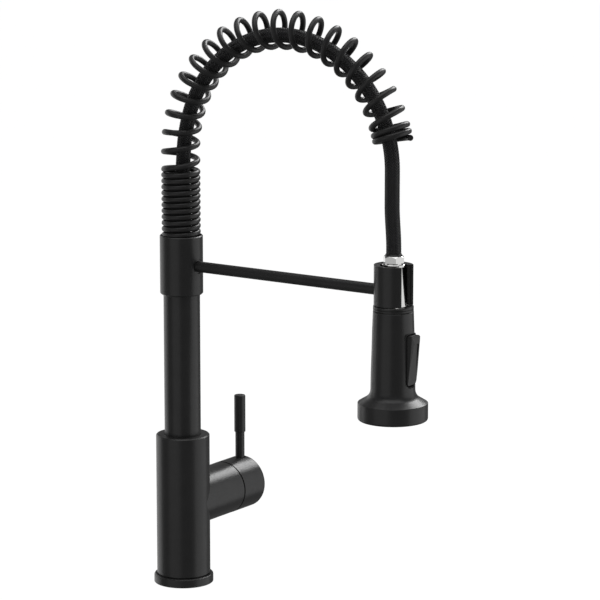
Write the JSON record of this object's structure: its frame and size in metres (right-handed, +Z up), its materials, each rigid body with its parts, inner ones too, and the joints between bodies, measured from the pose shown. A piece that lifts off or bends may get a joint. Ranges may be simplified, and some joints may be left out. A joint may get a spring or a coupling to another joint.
{
  "type": "spring pull-down mixer faucet",
  "caption": "Deck-mounted spring pull-down mixer tap: side lever on the body, swivelling riser, spring-guided hose over an arch, dock arm and two-mode spray head.",
  "frame": {"origin": "centre of the base flange's underside, on the top of the deck", "axes": "+Z up along the column, +X along the dock arm towards the spray head, +Y along the valve axis towards the lever"},
  "size_m": [0.2718, 0.1206, 0.5667],
  "materials": {
    "satin_black_metal": "satin powder coat",
    "black_spring_wire": "satin coated wire",
    "black_braid": "woven nylon braid",
    "black_plastic": "moulded, fine texture",
    "black_button": "soft satin",
    "chrome": "polished",
    "brass": "machined",
    "steel": "machined",
    "rubber_seal": "moulded",
    "ceramic": "ground flat",
    "white_acetal": "turned",
    "hose_inner": "extruded",
    "grey_silicone": "moulded"
  },
  "bodies": {
    "base": {"base_flange": "satin_black_metal", "base_gasket": "rubber_seal", "mounting_shank": "brass", "deck_rubber_washer": "rubber_seal", "deck_steel_washer": "steel", "lock_nut": "brass", "body_shell": "satin_black_metal", "cartridge_housing": "black_plastic", "cartridge_cover": "black_plastic", "cartridge_seals": "rubber_seal", "fixed_disc": "ceramic", "cartridge_nut": "brass", "dome_ring": "satin_black_metal", "spout_slip_ring": "white_acetal", "spout_retaining_screw": "steel"},
    "carrier": {"cartridge_carrier": "white_acetal", "stem_pivot_pin": "steel"},
    "disc": {"moving_disc": "ceramic", "disc_coupler": "black_plastic"},
    "handle": {"cartridge_stem": "brass", "handle_cap": "satin_black_metal", "lever_stalk": "satin_black_metal", "lever_grip": "satin_black_metal", "handle_set_screw": "steel", "screw_plug": "black_plastic"},
    "spout": {"swivel_spigot": "brass", "spigot_orings": "rubber_seal", "riser_tube": "satin_black_metal", "waterway_tube": "brass", "collar": "satin_black_metal", "collar_set_screw": "steel", "hose_socket": "brass", "dock_arm": "satin_black_metal", "dock_holder": "satin_black_metal", "dock_liner": "black_plastic", "dock_screw": "steel", "spring": "black_spring_wire", "hose_braid": "black_braid", "hose_liner": "hose_inner"},
    "hose_end": {"hose_ferrule": "black_plastic", "hose_nut": "chrome", "swivel_nipple": "brass"},
    "spray_head": {"head_neck": "chrome", "neck_oring": "rubber_seal", "check_valve": "white_acetal", "neck_washer": "rubber_seal", "head_top_ring": "satin_black_metal", "head_shell": "satin_black_metal", "diverter_body": "black_plastic", "button_frame": "black_plastic", "rocker_pin": "steel", "head_face": "black_plastic", "nozzle_mat": "grey_silicone", "aerator": "black_plastic"},
    "rocker": {"rocker_button": "black_button"},
    "diverter": {"diverter_spool": "brass"}
  },
  "joints": [
    {"name": "spout_swivel", "type": "hinge", "parent": "base", "child": "spout", "pos_m": [0, 0, 0.13], "axis": [0, 0, 1], "continuous": true},
    {"name": "temperature_turn", "type": "hinge", "parent": "base", "child": "carrier", "pos_m": [0, 0.038, 0.071], "axis": [0, 1, 0], "range_deg": [-45, 45]},
    {"name": "flow_lift", "type": "hinge", "parent": "carrier", "child": "handle", "pos_m": [0, 0.038, 0.071], "axis": [-1, 0, 0], "range_deg": [0, 22]},
    {"name": "disc_slide", "type": "slide", "parent": "carrier", "child": "disc", "axis": [0, 0, 1], "range_m": [0, 0.0054]},
    {"name": "head_pull", "type": "slide", "parent": "spout", "child": "hose_end", "axis": [0, 0, -1], "range_m": [0, 0.06], "stiffness_N_per_m": 150, "springref_m": -0.06, "deforming": ["spring", "hose_braid", "hose_liner"]},
    {"name": "head_spin", "type": "hinge", "parent": "hose_end", "child": "spray_head", "pos_m": [0.2162, 0, 0.29], "axis": [0, 0, 1], "continuous": true},
    {"name": "rocker_tilt", "type": "hinge", "parent": "spray_head", "child": "rocker", "pos_m": [0.2308, 0, 0.2247], "axis": [0, -1, 0], "range_deg": [0, 9]},
    {"name": "diverter_slide", "type": "slide", "parent": "spray_head", "child": "diverter", "axis": [1, 0, 0], "range_m": [0, 0.0022]}
  ],
  "couplings": [
    {"joint": "disc_slide", "follows": "flow_lift", "m_per_rad": 0.013914},
    {"joint": "diverter_slide", "follows": "rocker_tilt", "m_per_rad": 0.0127}
  ]
}
